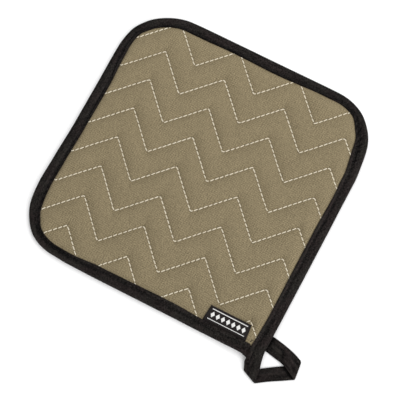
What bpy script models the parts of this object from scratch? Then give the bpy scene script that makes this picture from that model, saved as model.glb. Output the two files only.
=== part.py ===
"""Square quilted pot holder: a pad quilted in zigzag rows, a folded-tape binding round its edge, a
hanging loop of the same tape at one corner, and a small blank woven label.

It lies on its back. The origin is the middle of the square on the underside, +Z is up, X runs along
the zigzag rows and Y across them. Sizes below are in millimetres, and METRES turns them into the
scene's unit when a mesh is made.
"""

import math
from collections import namedtuple

import bmesh
import bpy
from mathutils import Vector
from mathutils.geometry import delaunay_2d_cdt

METRES = 0.001

# The outline over the binding, clockwise from the sharp corner where the tape begins and ends.
CORNERS = (  # corner, x, y, rounding radius
    ("bottom_right", 101.8, -102.4, 0.0),
    ("bottom_left", -103.6, -105.3, 38.0),
    ("top_left", -103.2, 103.9, 42.0),
    ("top_right", 104.8, 103.7, 40.0),
)
STRETCHES = (  # stretch of the edge, steps along it
    ("bottom", 9),
    ("bottom_left", 8),
    ("left", 8),
    ("top_left", 8),
    ("top", 8),
    ("top_right", 8),
    ("right", 9),
)
SEWN_EDGE = (  # stretch, share of the way along it, how far the edge stands out of true, tape width
    ("bottom", 0.0, 0.0, 8.3),
    ("bottom", 0.28, 0.0, 8.6),
    ("bottom", 0.45, -0.1, 9.6),
    ("bottom", 0.8, 0.0, 9.1),
    ("bottom", 0.93, -0.2, 7.7),
    ("bottom_left", 0.05, -1.0, 7.4),
    ("bottom_left", 0.42, -0.2, 7.8),
    ("bottom_left", 0.62, -0.6, 8.6),
    ("bottom_left", 0.9, -0.4, 9.9),
    ("left", 0.08, 0.6, 9.9),
    ("left", 0.22, 0.2, 9.6),
    ("left", 0.45, -0.5, 9.5),
    ("left", 0.72, -0.4, 9.8),
    ("left", 0.95, -0.1, 8.8),
    ("top_left", 0.1, -0.3, 8.2),
    ("top_left", 0.28, 0.2, 7.8),
    ("top_left", 0.45, -0.2, 8.3),
    ("top_left", 0.7, -0.8, 8.4),
    ("top", 0.1, 0.1, 9.3),
    ("top", 0.3, 0.1, 8.7),
    ("top", 0.6, 0.0, 9.3),
    ("top", 0.9, 0.0, 8.0),
    ("top_right", 0.3, -0.5, 7.5),
    ("top_right", 0.6, -1.3, 9.5),
    ("top_right", 0.9, -1.8, 10.5),
    ("right", 0.1, 0.1, 9.5),
    ("right", 0.22, 0.1, 8.9),
    ("right", 0.34, 0.25, 9.6),
    ("right", 0.5, 0.3, 9.7),
    ("right", 0.8, 0.3, 9.5),
    ("right", 1.0, 0.0, 10.4),
)
CORNER_CLEAR = 14.0

# Quilting: zigzag rows at an even pitch.
FIRST_PEAK_X = -68.2
FIRST_PEAK_Y = 98.6
HALF_PERIOD = 25.2
AMPLITUDE = 26.0
ROW_PITCH = 25.4
ROW_NUMBERS = range(-1, 9)
POINTS_PER_ARM = 2
ARM_COSINE = HALF_PERIOD / math.hypot(HALF_PERIOD, AMPLITUDE)

# Heights through the pad.
STITCH_TOP = 4.5
PUFF_TOP = 7.0
PUFF_POWER = 2.4
TAPE_SIDE_TOP = 4.9
CROWN_RUN = 10.0
GROOVE_DEPTH = 1.0
GROOVE_HALF = 1.7
LINES_PER_ROW = (0.0, GROOVE_HALF / ARM_COSINE, 0.25 * ROW_PITCH, 0.5 * ROW_PITCH)

# The pad's thin edge inside the binding.
RIM_INSET = 1.5
EDGE_LOW = 1.4
EDGE_HIGH = 3.8
STEP_START = 0.4
STEP_END = 1.2
RINGS_IN_FIELD = (STEP_START, STEP_END, 0.3 * CROWN_RUN, 0.6 * CROWN_RUN, CROWN_RUN)

# The binding's folded tape: over the pad, and closed where it runs on past the pad's corner.
LAYER_OPEN, LAYER_CLOSED = 1.05, 0.5
SLOT_OPEN, SLOT_CLOSED = 3.0, 0.3
FOLD_WALL = 1.15
GROOVE_IN = 3.1
LIP_CREST_IN = 1.6
NOSE_HALF = 0.4
NOSE_RUN = 1.6
CLOSED_RELIEF = 0.3
CROWN = 0.25
GROOVE = 0.2
LIP_FALL = 0.3
TAPE_START = 11.6
START_FLARE = 1.2
CORNER_STRIP = (  # outer x, outer y, inner x, inner y, how far the tape is open (1 over the pad)
    (101.9, -92.5, 91.5, -92.5, 1.0),
    (102.2, -96.6, 91.3, -96.0, 1.0),
    (102.7, -99.8, 91.6, -99.0, 1.0),
    (103.1, -102.0, 91.8, -101.4, 0.95),
    (103.6, -103.8, 91.8, -103.2, 0.55),
    (104.0, -105.4, 91.6, -104.9, 0.18),
    (104.3, -106.9, 91.4, -106.5, 0.0),
)

# The pad's corner rides up over the sewn-in end of the loop.
LIFT = 1.65
LIFT_CENTRE = Vector((99.0, -93.0))
LIFT_FULL = 12.0
LIFT_REACH = 36.0
LIFT_SQUEEZE = 0.6

# Hanging loop: one flat tape, folded over twice. Edge a is its left edge where it leaves the pad.
TAPE_THICKNESS = 2 * LAYER_CLOSED + SLOT_CLOSED
TAPE_BEVEL = 0.3
ON_FLOOR = 0.5 * TAPE_THICKNESS
ON_TAPE = LIFT + ON_FLOOR
FOLD_STEPS = 6
LEG_STEPS = 3
LOOP_LINES = (  # place, a x, a y, b x, b y, middle height, way its face looks (1 up, -1 down)
    ("leaves_the_binding", 91.5, -107.0, 104.4, -107.4, ON_TAPE, 1),
    ("first_crease", 93.6, -110.9, 104.9, -115.8, ON_TAPE, 1),
    ("first_crease", 96.4, -112.1, 106.6, -116.5, ON_FLOOR, -1),
    ("cross_leg", 107.4, -103.9, 113.6, -111.5, ON_FLOOR, -1),
    ("cross_leg", 115.0, -98.8, 121.0, -107.0, ON_FLOOR, -1),
    ("cross_leg", 121.0, -95.0, 124.7, -104.7, ON_FLOOR, -1),
    ("second_crease", 126.4, -91.4, 128.0, -102.6, ON_FLOOR, -1),
    ("second_crease", 126.3, -88.1, 128.1, -101.5, ON_TAPE, 1),
    ("return_leg", 121.3, -85.3, 121.6, -98.2, ON_TAPE, 1),
    ("return_leg", 116.8, -84.3, 116.4, -96.0, 1.8, 1),
    ("return_leg", 110.8, -83.2, 109.4, -94.7, 1.0, 1),
    ("return_leg", 103.5, -81.7, 101.9, -93.3, ON_FLOOR, 1),
    ("sewn_end", 93.6, -80.3, 92.2, -91.6, ON_FLOOR, 1),
)

# Woven label, sewn in at the binding and lying over the quilting.
LABEL_BASE = ((52.1, -93.5), (86.2, -93.2))
LABEL_FREE = ((53.2, -82.6), (85.4, -82.3))
LABEL_THICKNESS = 0.6
LABEL_CLEAR = 0.45
LABEL_COLUMNS = 9
LABEL_ROWS = 5

COLOURS = {  # piece: base colour, roughness
    "quilted_pad": ((0.262, 0.212, 0.127, 1.0), 0.85),
    "edge_binding": ((0.016, 0.014, 0.013, 1.0), 0.8),
    "hanging_loop": ((0.016, 0.014, 0.013, 1.0), 0.8),
    "woven_label": ((0.012, 0.011, 0.011, 1.0), 0.6),
}
SMOOTH_BELOW = math.radians(40)

Station = namedtuple("Station", "point normal width")


def smooth(share):
    """0 to 1 with level ends."""
    share = min(max(share, 0.0), 1.0)
    return share * share * (3.0 - 2.0 * share)


def mix(low, high, share):
    """From low at 0 to high at 1."""
    return low + (high - low) * share


def interpolate(knots, place):
    """The value at a place, from (place, value) pairs in order."""
    for (start, first), (end, last) in zip(knots, knots[1:]):
        if place <= end:
            return mix(first, last, smooth((place - start) / (end - start)))
    return knots[-1][1]


# Outline


def sewn_edge():
    """How far the edge stands out of true, and the tape width, at each step round it."""
    first_step, done = {}, 0
    for stretch, steps in STRETCHES:
        first_step[stretch] = (done, steps)
        done += steps
    out_knots, width_knots = [], []
    for stretch, share, out, width in SEWN_EDGE:
        first, steps = first_step[stretch]
        out_knots.append((first + share * steps, out))
        width_knots.append((first + share * steps, width))
    return [(interpolate(out_knots, step), interpolate(width_knots, step)) for step in range(done + 1)]


def outline():
    """Stations clockwise round the edge, from the sharp corner back to it."""
    corners = [Vector((x, y)) for _, x, y, _ in CORNERS]
    radii = [radius for _, _, _, radius in CORNERS]
    count = len(corners)
    runs = [(corners[(i + 1) % count] - corners[i]).normalized() for i in range(count)]
    normals = [Vector((-run.y, run.x)) for run in runs]
    setbacks = [radii[i] * math.tan(0.5 * runs[i - 1].angle(runs[i])) for i in range(count)]
    steps = [row[1] for row in STRETCHES]

    points, facing = [], []
    for side in range(count):
        ahead = (side + 1) % count
        start = corners[side] + runs[side] * setbacks[side]
        end = corners[ahead] - runs[side] * setbacks[ahead]
        side_steps = steps[2 * side]
        for step in range(side_steps):
            points.append(start.lerp(end, step / side_steps))
            facing.append(normals[side])
        if not radii[ahead]:
            points.append(end)
            facing.append(normals[side])
            continue
        centre = end - normals[side] * radii[ahead]
        first = math.atan2(normals[side].y, normals[side].x)
        turn = normals[side].angle(normals[ahead])
        arc_steps = steps[2 * side + 1]
        for step in range(arc_steps):
            angle = first - turn * step / arc_steps
            normal = Vector((math.cos(angle), math.sin(angle)))
            points.append(centre + normal * radii[ahead])
            facing.append(normal)
    return [
        Station(point + normal * out, normal, width)
        for point, normal, (out, width) in zip(points, facing, sewn_edge())
    ]


def away_from_corner(stations, distance):
    """The stations at least that far from the sharp corner."""
    corner = stations[0].point
    return [s for s in stations if (s.point - corner).length > distance]


def ring(stations, inset_for):
    """A closed line inside the outline, whose inset is worked out from the tape width."""
    first, last = stations[0], stations[-1]
    line = [s.point - s.normal * inset_for(s.width) for s in away_from_corner(stations, CORNER_CLEAR)]
    a, b = inset_for(first.width), inset_for(last.width)
    cross = first.normal.x * last.normal.y - first.normal.y * last.normal.x
    inward = Vector((a * last.normal.y - b * first.normal.y, b * first.normal.x - a * last.normal.x))
    return line + [first.point - inward / cross]


def edge_at(stations, point):
    """Distance inside the outline, and the tape width there."""
    nearest = (math.inf, 0.0)
    for start, end in zip(stations, stations[1:]):
        run = end.point - start.point
        share = min(max((point - start.point).dot(run) / run.length_squared, 0.0), 1.0)
        inset = (point - start.point - run * share).length
        nearest = min(nearest, (inset, mix(start.width, end.width, share)))
    return nearest


def lift(point):
    """How far the corner is raised over the loop's sewn-in end."""
    away = (point - LIFT_CENTRE).length - LIFT_FULL
    return LIFT * (1.0 - smooth(away / LIFT_REACH))


# Meshes


def finish_object(bm, name, collection):
    """Turns a bmesh in millimetres into a named object in metres with its own material."""
    bmesh.ops.recalc_face_normals(bm, faces=bm.faces[:])
    bmesh.ops.scale(bm, vec=(METRES, METRES, METRES), verts=bm.verts[:])
    mesh = bpy.data.meshes.new(name)
    bm.to_mesh(mesh)
    bm.free()
    mesh.shade_smooth()
    mesh.set_sharp_from_angle(angle=SMOOTH_BELOW)
    colour, roughness = COLOURS[name]
    material = bpy.data.materials.new(name)
    material.use_nodes = True
    shader = material.node_tree.nodes["Principled BSDF"]
    shader.inputs["Base Color"].default_value = colour
    shader.inputs["Roughness"].default_value = roughness
    shader.inputs["Metallic"].default_value = 0.0
    mesh.materials.append(material)
    made = bpy.data.objects.new(name, mesh)
    collection.objects.link(made)
    return made


def loft(sections):
    """A closed body through sections of equally many points."""
    bm = bmesh.new()
    rows = [[bm.verts.new(point) for point in section] for section in sections]
    count = len(rows[0])
    for near, far in zip(rows, rows[1:]):
        for i in range(count):
            j = (i + 1) % count
            bm.faces.new((near[i], near[j], far[j], far[i]))
    bm.faces.new(rows[0])
    bm.faces.new(rows[-1][::-1])
    return bm


# Quilted pad


def zigzag(x):
    """Y of the first row at x."""
    phase = ((x - FIRST_PEAK_X) / HALF_PERIOD) % 2.0
    return FIRST_PEAK_Y - AMPLITUDE * min(phase, 2.0 - phase)


def off_stitch(point):
    """Square distance from the nearest row of stitching."""
    rows = (zigzag(point.x) - point.y) / ROW_PITCH
    return abs(rows - round(rows)) * ROW_PITCH * ARM_COSINE


def puff_top(from_tape):
    """Height of the puffs at a distance from the binding."""
    away = 1.0 - min(max(from_tape / CROWN_RUN, 0.0), 1.0)
    return mix(PUFF_TOP, TAPE_SIDE_TOP, away * away)


def top_lift(point, from_tape):
    """The raised corner's top, which the wadding takes up in part away from the binding."""
    return lift(point) * (1.0 - LIFT_SQUEEZE * smooth(from_tape / CROWN_RUN))


def pad_top(stations, point):
    """Height of the pad's upper face."""
    inset, width = edge_at(stations, point)
    from_tape = inset - width
    fullness = 1.0 - (1.0 - off_stitch(point) / (0.5 * ROW_PITCH * ARM_COSINE)) ** PUFF_POWER
    height = mix(STITCH_TOP, puff_top(from_tape), fullness)
    step = (from_tape - STEP_START) / (STEP_END - STEP_START)
    return mix(EDGE_HIGH, height, min(max(step, 0.0), 1.0)) + top_lift(point, from_tape)


def pad_underside(stations, point):
    """Height of the pad's lower face: flat on the surface but for the sewn channels."""
    inset, width = edge_at(stations, point)
    step = (inset - width - STEP_START) / (STEP_END - STEP_START)
    height = GROOVE_DEPTH * (1.0 - smooth(off_stitch(point) / GROOVE_HALF))
    return mix(EDGE_LOW, height, min(max(step, 0.0), 1.0)) + lift(point)


def quilt_lines():
    """Zigzag lines over the whole square: each row of stitching and the lines beside it."""
    columns = [
        FIRST_PEAK_X + HALF_PERIOD * k / POINTS_PER_ARM
        for k in range(-2 * POINTS_PER_ARM, 8 * POINTS_PER_ARM + 1)
    ]
    offsets = set(LINES_PER_ROW) | {-offset for offset in LINES_PER_ROW[:-1]}
    drops = [row * ROW_PITCH + offset for row in ROW_NUMBERS for offset in sorted(offsets)]
    return [[Vector((x, zigzag(x) - drop)) for x in columns] for drop in drops]


def inside(line, point):
    """Whether a point lies inside a closed line, from the sides that a level line leftward crosses."""
    crossed = 0
    for a, b in zip(line, line[1:] + line[:1]):
        if (a.y > point.y) != (b.y > point.y):
            crossed += mix(a.x, b.x, (point.y - a.y) / (b.y - a.y)) < point.x
    return crossed % 2 == 1


def quilted_pad(stations, collection):
    rim = ring(stations, lambda width: RIM_INSET)
    rings = [rim]
    for reach in RINGS_IN_FIELD:
        rings.append(ring(stations, lambda width: width + reach))
    points, edges = [], []
    for line, closed in [(r, True) for r in rings] + [(z, False) for z in quilt_lines()]:
        first = len(points)
        points += line
        edges += [(i, i + 1) for i in range(first, len(points) - 1)]
        if closed:
            edges.append((len(points) - 1, first))
    flat, _, faces, _, _, _ = delaunay_2d_cdt(points, edges, [], 0, 0.05, False)
    kept = [f for f in faces if inside(rim, sum((flat[i] for i in f), Vector((0, 0))) / len(f))]

    bm = bmesh.new()
    used = sorted({i for face in kept for i in face})
    above = {i: bm.verts.new((*flat[i], pad_top(stations, flat[i]))) for i in used}
    below = {i: bm.verts.new((*flat[i], pad_underside(stations, flat[i]))) for i in used}
    sides = {(i, j) for face in kept for i, j in zip(face, face[1:] + face[:1])}
    for face in kept:
        bm.faces.new([above[i] for i in face])
        bm.faces.new([below[i] for i in reversed(face)])
    for i, j in sorted(sides):
        if (j, i) not in sides:
            bm.faces.new((above[j], above[i], below[i], below[j]))
    return finish_object(bm, "quilted_pad", collection)


# Binding


def tape_section(width, openness):
    """Section of the folded tape: distance in from its outer edge, and height."""
    layer = mix(LAYER_CLOSED, LAYER_OPEN, openness)
    low = layer
    high = layer + mix(SLOT_CLOSED, SLOT_OPEN, openness)
    top = high + layer
    relief = mix(CLOSED_RELIEF, 1.0, openness)
    return (
        (width, 0.0),
        (NOSE_RUN, 0.0),
        (NOSE_HALF, 0.2 * top),
        (0.0, 0.5 * top),
        (NOSE_HALF, 0.8 * top),
        (NOSE_RUN, top),
        (0.5 * (NOSE_RUN + width - GROOVE_IN), top + CROWN * relief),
        (width - GROOVE_IN, top - GROOVE * relief),
        (width - LIP_CREST_IN, top),
        (width, top - LIP_FALL * relief),
        (width, high),
        (FOLD_WALL, high),
        (FOLD_WALL, low),
        (width, low),
    )


def placed_section(outer, inward, width, openness):
    """The tape's section set at the pad's edge, with the corner's lift."""
    section = []
    for reach, height in tape_section(width, openness):
        point = outer + inward * reach
        section.append((point.x, point.y, height + lift(point)))
    return section


def edge_binding(stations, collection):
    corner, after = stations[0], away_from_corner(stations, CORNER_CLEAR)
    start = corner.point + (after[0].point - corner.point).normalized() * TAPE_START
    start += corner.normal * START_FLARE
    sections = [placed_section(start, -corner.normal, corner.width + START_FLARE, 1.0)]
    sections += [placed_section(s.point, -s.normal, s.width, 1.0) for s in after]
    for outer_x, outer_y, inner_x, inner_y, openness in CORNER_STRIP:
        outer, inner = Vector((outer_x, outer_y)), Vector((inner_x, inner_y))
        across = inner - outer
        sections.append(placed_section(outer, across.normalized(), across.length, openness))
    return finish_object(loft(sections), "edge_binding", collection)


# Hanging loop


def strip_section(a, b, face):
    """Section of the flat tape from edge a to edge b, with its long corners taken off."""
    across = (b - a).normalized()
    half = face * (0.5 * TAPE_THICKNESS)
    bevel = across * TAPE_BEVEL
    return [
        a - half * 0.5,
        a + bevel - half,
        b - bevel - half,
        b - half * 0.5,
        b + half * 0.5,
        b - bevel + half,
        a + bevel + half,
        a + half * 0.5,
    ]


def fold_sections(start, end, outward):
    """The tape rolling over a crease, its face on the outside of the fold."""
    (a_start, b_start, high, looks), (a_end, b_end, low, _) = start, end
    middle, radius = 0.5 * (high + low), 0.5 * abs(high - low)
    for step in range(1, FOLD_STEPS):
        angle = math.pi * step / FOLD_STEPS
        a, b = (first.lerp(last, step / FOLD_STEPS) for first, last in ((a_start, a_end), (b_start, b_end)))
        shift = outward * radius * math.sin(angle)
        rise = Vector((0.0, 0.0, middle + (high - middle) * math.cos(angle)))
        face = outward * math.sin(angle) + Vector((0.0, 0.0, looks * math.cos(angle)))
        yield strip_section(a + shift + rise, b + shift + rise, face)


def hanging_loop(collection):
    lines = []
    for _, ax, ay, bx, by, height, looks in LOOP_LINES:
        lines.append((Vector((ax, ay, 0.0)), Vector((bx, by, 0.0)), height, looks))
    sections = []
    for number, (a, b, height, looks) in enumerate(lines):
        up = Vector((0.0, 0.0, height))
        sections.append(strip_section(a + up, b + up, Vector((0.0, 0.0, looks))))
        if number + 1 == len(lines):
            break
        a_next, b_next, height_next, looks_next = lines[number + 1]
        if looks_next != looks:
            outward = (b - a).cross(Vector((0.0, 0.0, 1.0))).normalized()
            a_before, b_before = lines[number - 1][:2]
            if outward.dot(a + b - a_before - b_before) < 0.0:
                outward.negate()
            sections += fold_sections(lines[number], lines[number + 1], outward)
            continue
        for step in range(1, LEG_STEPS):
            share = step / LEG_STEPS
            up = Vector((0.0, 0.0, mix(height, height_next, smooth(share))))
            face = Vector((0.0, 0.0, looks))
            sections.append(strip_section(a.lerp(a_next, share) + up, b.lerp(b_next, share) + up, face))
    return finish_object(loft(sections), "hanging_loop", collection)


# Label


def woven_label(stations, collection):
    sections = []
    for column in range(LABEL_COLUMNS):
        along = column / (LABEL_COLUMNS - 1)
        base = Vector(LABEL_BASE[0]).lerp(Vector(LABEL_BASE[1]), along)
        free = Vector(LABEL_FREE[0]).lerp(Vector(LABEL_FREE[1]), along)
        under = []
        for row in range(LABEL_ROWS):
            point = base.lerp(free, row / (LABEL_ROWS - 1))
            inset, width = edge_at(stations, point)
            from_tape = inset - width
            height = puff_top(from_tape) + top_lift(point, from_tape) + LABEL_CLEAR
            under.append(Vector((point.x, point.y, height)))
        over = [point + Vector((0.0, 0.0, LABEL_THICKNESS)) for point in under]
        sections.append(under + over[::-1])
    return finish_object(loft(sections), "woven_label", collection)


def main():
    for old in list(bpy.data.objects):
        bpy.data.objects.remove(old, do_unlink=True)
    collection = bpy.data.collections.new("pot_holder")
    bpy.context.scene.collection.children.link(collection)
    stations = outline()
    quilted_pad(stations, collection)
    edge_binding(stations, collection)
    hanging_loop(collection)
    woven_label(stations, collection)


main()
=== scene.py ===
"""Looks of a quilted pot holder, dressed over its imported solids.

A tan canvas pad is quilted in zigzag rows with cream thread. One black tape is folded over its edge all
the way round, and runs out at a corner into the hanging loop. A small woven label is tucked under the
tape. Sizes are in millimetres, and MM turns them into the frame's metres. X runs along the zigzag rows,
Y across them, and the pad lies on the floor at z = 0.
"""

import math
import random
from collections import namedtuple

import bmesh
import bpy
import numpy as np
from mathutils import Matrix, Vector

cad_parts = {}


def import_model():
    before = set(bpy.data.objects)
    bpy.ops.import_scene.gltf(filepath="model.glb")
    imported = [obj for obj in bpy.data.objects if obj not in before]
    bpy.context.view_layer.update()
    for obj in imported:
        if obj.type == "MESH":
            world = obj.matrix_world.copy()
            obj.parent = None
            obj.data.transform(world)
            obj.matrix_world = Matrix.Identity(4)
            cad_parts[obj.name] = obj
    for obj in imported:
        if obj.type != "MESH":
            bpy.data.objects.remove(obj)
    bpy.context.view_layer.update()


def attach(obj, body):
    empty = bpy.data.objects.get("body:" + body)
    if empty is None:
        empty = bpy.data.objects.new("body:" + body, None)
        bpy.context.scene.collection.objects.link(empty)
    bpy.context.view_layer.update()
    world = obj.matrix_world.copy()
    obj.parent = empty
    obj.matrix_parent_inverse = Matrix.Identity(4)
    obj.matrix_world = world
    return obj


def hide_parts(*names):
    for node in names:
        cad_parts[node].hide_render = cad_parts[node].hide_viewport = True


MM = 0.001

# The outline over the tape, clockwise from the sharp corner where the tape begins and ends.
CORNERS = (  # corner, x, y, rounding radius
    ("bottom_right", 101.8, -102.4, 0.0),
    ("bottom_left", -103.6, -105.3, 38.0),
    ("top_left", -103.2, 103.9, 42.0),
    ("top_right", 104.8, 103.7, 40.0),
)
STRETCHES = (  # stretch of the edge, steps along it
    ("bottom", 160),
    ("bottom_left", 60),
    ("left", 120),
    ("top_left", 60),
    ("top", 120),
    ("top_right", 60),
    ("right", 160),
)
# Places are measured against the whole edge so many at a time, to spare memory.
PLACES_AT_ONCE = 2000
SEWN_EDGE = (  # stretch, share of the way along it, how far the edge stands out of true, tape width
    ("bottom", 0.0, 0.0, 8.3),
    ("bottom", 0.28, 0.0, 8.6),
    ("bottom", 0.45, -0.1, 9.6),
    ("bottom", 0.8, 0.0, 9.1),
    ("bottom", 0.93, -0.2, 7.7),
    ("bottom_left", 0.05, -1.0, 7.4),
    ("bottom_left", 0.42, -0.2, 7.8),
    ("bottom_left", 0.62, -0.6, 8.6),
    ("bottom_left", 0.9, -0.4, 9.9),
    ("left", 0.08, 0.6, 9.9),
    ("left", 0.22, 0.2, 9.6),
    ("left", 0.45, -0.5, 9.5),
    ("left", 0.72, -0.4, 9.8),
    ("left", 0.95, -0.1, 8.8),
    ("top_left", 0.1, -0.3, 8.2),
    ("top_left", 0.28, 0.2, 7.8),
    ("top_left", 0.45, -0.2, 8.3),
    ("top_left", 0.7, -0.8, 8.4),
    ("top", 0.1, 0.1, 9.3),
    ("top", 0.3, 0.1, 8.7),
    ("top", 0.6, 0.0, 9.3),
    ("top", 0.9, 0.0, 8.0),
    ("top_right", 0.3, -0.5, 7.5),
    ("top_right", 0.6, -1.3, 9.5),
    ("top_right", 0.9, -1.8, 10.5),
    ("right", 0.1, 0.1, 9.5),
    ("right", 0.22, 0.1, 8.9),
    ("right", 0.34, 0.25, 9.6),
    ("right", 0.5, 0.3, 9.7),
    ("right", 0.8, 0.3, 9.5),
    ("right", 1.0, 0.0, 10.4),
)
# How the tape looks along the edge: where its seam lies, as a share of its width from the fold, and how
# strongly its puckers and its painted light and shade show: shade in the seam line's groove, a highlight on
# the lip, light and shade on the outer part, shade at the inner edge and along the fold line.
TAPE_LOOK = (  # stretch, share along it, seam's place, seam, lip, outer, inner edge, fold, puckers
    ("bottom", 0.0, 0.64, 0.3, 0.5, 0.4, 0.0, 0.0, 0.3),
    ("bottom", 0.4, 0.64, 0.4, 0.3, 0.9, 0.1, 0.0, 0.2),
    ("bottom", 0.8, 0.66, 0.8, 0.0, 0.8, 0.3, 0.0, 0.2),
    ("bottom_left", 0.05, 0.69, 2.3, 0.3, 1.7, 0.5, 0.0, 0.4),
    ("bottom_left", 0.35, 0.71, 2.0, 0.3, 1.1, 0.6, 0.0, 0.8),
    ("bottom_left", 0.6, 0.82, 0.8, 0.0, 0.1, 0.5, 0.0, 0.8),
    ("left", 0.1, 0.78, 0.8, 0.0, -0.8, 0.6, -0.2, 0.4),
    ("left", 0.8, 0.76, 0.9, 0.0, -0.9, 0.6, -0.2, 0.2),
    ("left", 0.93, 0.67, 2.2, 0.4, -1.2, 0.4, 0.0, 0.1),
    ("top_left", 0.2, 0.66, 1.4, 0.3, -0.2, 0.8, 0.8, 0.1),
    ("top_left", 0.5, 0.82, 0.4, 0.0, 0.0, 0.8, 1.3, 0.2),
    ("top", 0.1, 0.8, 0.4, 0.0, 0.0, 1.0, 0.9, 0.2),
    ("top", 0.9, 0.74, 0.5, 0.0, 0.0, 0.8, 1.0, 0.1),
    ("top_right", 0.3, 0.7, 0.6, 0.1, 0.3, 0.8, 0.9, 0.4),
    ("top_right", 0.6, 0.7, 0.7, 0.3, 0.9, 0.2, 0.0, 1.5),
    ("right", 0.0, 0.66, 0.6, 0.8, 0.9, 0.0, 0.0, 1.0),
    ("right", 0.15, 0.66, 0.7, 1.0, 0.6, 0.1, 0.0, 0.1),
    ("right", 1.0, 0.66, 0.5, 1.0, 0.5, 0.1, 0.0, 0.2),
)
LOOP_LOOK = (0.66, 0.0, 0.0, 0.0, 0.0, 0.0, 0.0)

# How far each of those shifts the tape's tone, and where, all painted light and shade: shade in the seam's
# groove and in a second line beside it, a highlight on the lip, light and shade on the outer part, shade at
# the inner edge and along the fold. Places are from the seam or the inner edge.
SEAM_SHADE, SEAM_HALF = 0.15, 0.55
SECOND_SHADE, SECOND_PLACE, SECOND_HALF = 0.1, 1.2, 0.4
LIP_HIGHLIGHT, LIP_START, LIP_FULL = 0.1, 0.4, 1.2
OUTER_LIGHT_AND_SHADE, OUTER_LEVEL = 0.09, 0.38
EDGE_SHADE, EDGE_FULL, EDGE_NONE = 0.15, 0.8, 1.9
FOLD_SHADE, FOLD_REACH = 0.28, 2.1

# Quilting: zigzag rows at an even pitch.
FIRST_PEAK_X = -68.2
FIRST_PEAK_Y = 98.6
HALF_PERIOD = 25.2
AMPLITUDE = 26.0
ROW_PITCH = 25.4
SEWN_ROWS = range(8)
ARM = math.hypot(HALF_PERIOD, AMPLITUDE)
ARM_COSINE = HALF_PERIOD / ARM
CORNER_EASE = 0.35
THREAD_EASE = 0.7

# Heights through the pad.
STITCH_TOP = 4.5
PUFF_TOP = 7.0
PUFF_POWER = 2.4
PUFF_REACH = 9.6
RIDGE_EASE = 1.2
TAPE_SIDE_TOP = 4.9
CROWN_RUN = 10.0
UNDER_GROOVE = 1.0
UNDER_GROOVE_HALF = 4.0
EDGE_LOW = 1.25
EDGE_HIGH = 3.8
DIVE_START = -0.7
DIVE_END = 1.5
UNEVEN = (  # wavelength, heading in degrees, start in degrees, height
    (61.0, 24.0, 40.0, 0.16),
    (43.0, 101.0, 200.0, 0.14),
    (29.0, 158.0, 310.0, 0.10),
    (17.0, 63.0, 120.0, 0.06),
)

# The pad's corner rides up over the sewn-in end of the loop.
LIFT = 1.65
LIFT_CENTRE = (99.0, -93.0)
LIFT_FULL = 12.0
LIFT_REACH = 36.0
LIFT_SQUEEZE = 0.6

# Cloth mesh: columns follow the arms of the zigzag, and lines run beside each row. It ends at a rim
# inside the tape's fold, and keeps clear of the sharp corner.
COLUMNS_PER_ARM = 24
LINES_BESIDE_ROW = (0.0, 0.5, 1.1, 1.9, 3.0, 4.4, 6.2, 8.2, 10.4, 12.7)
CLOTH_RIM = 2.2
CORNER_CUT = 10.8

# Stitches: along each one, places as shares of the pitch, fatness, and depth sunk in thread radii.
STITCH_PLACES = np.array((0.07, 0.12, 0.2, 0.34, 0.5, 0.66, 0.8, 0.88, 0.93))
STITCH_FATNESS = np.array((0.55, 0.9, 1.0, 1.0, 1.0, 1.0, 1.0, 0.9, 0.55))
STITCH_SINK = np.array((1.7, 0.5, 0.0, 0.0, 0.0, 0.0, 0.0, 0.5, 1.7))
STITCH_SLIP = 0.05
STITCH_SWAY = 0.08
THREAD_RING = np.radians(np.arange(0, 360, 60))
THREAD_FLATNESS = 0.8

# Quilting thread: its rows run on under the tape.
STITCHES_PER_ARM = 9.5
THREAD_RADIUS = 0.39
THREAD_RISE = 0.2
THREAD_SLANT = math.tan(math.radians(7.0))
THREAD_STEPS_PER_ARM = 72
SHORTEST_ROW = 4
ROW_UNDER_TAPE = 4.8
ROW_FROM_CORNER = CORNER_CUT + 1.0

# The tape's own thread.
TOPSTITCH = 3.0
TOPSTITCH_START = 0.4
TOPSTITCH_RADIUS = 0.2
TOPSTITCH_RISE = 0.06
LOOSE_END = (  # x, y, height above the cloth
    (91.8, -91.6, -0.4),
    (91.0, -91.5, 0.2),
    (90.3, -91.7, 0.3),
    (89.9, -92.3, 0.2),
    (89.8, -93.2, -0.6),
)
LOOSE_END_STEPS = 5
LOOSE_END_RADIUS = 0.24

# The tape's section. Pairs are for tape pressed flat as in the loop, and open over the pad's edge.
LAYER = (0.55, 1.05)
HALF = (0.65, 2.55)
NOSE = (0.55, 2.9)
CROWN = (0.06, 0.35)
GROOVE = (0.1, 0.5)
GROOVE_WIDE = 0.7
CROWN_POWER = 0.8
LIP_RADIUS = 0.5
NOSE_STEPS = 6
ROLL_STEPS = 7
GROOVE_STEPS = 5
LIP_STEPS = 4
HALF_POINTS = NOSE_STEPS + ROLL_STEPS + 2 * GROOVE_STEPS + LIP_STEPS + 2
TOP_GROOVE = NOSE_STEPS + ROLL_STEPS + GROOVE_STEPS // 2
LOW_GROOVE = 2 * HALF_POINTS - 1 - TOP_GROOVE

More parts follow.
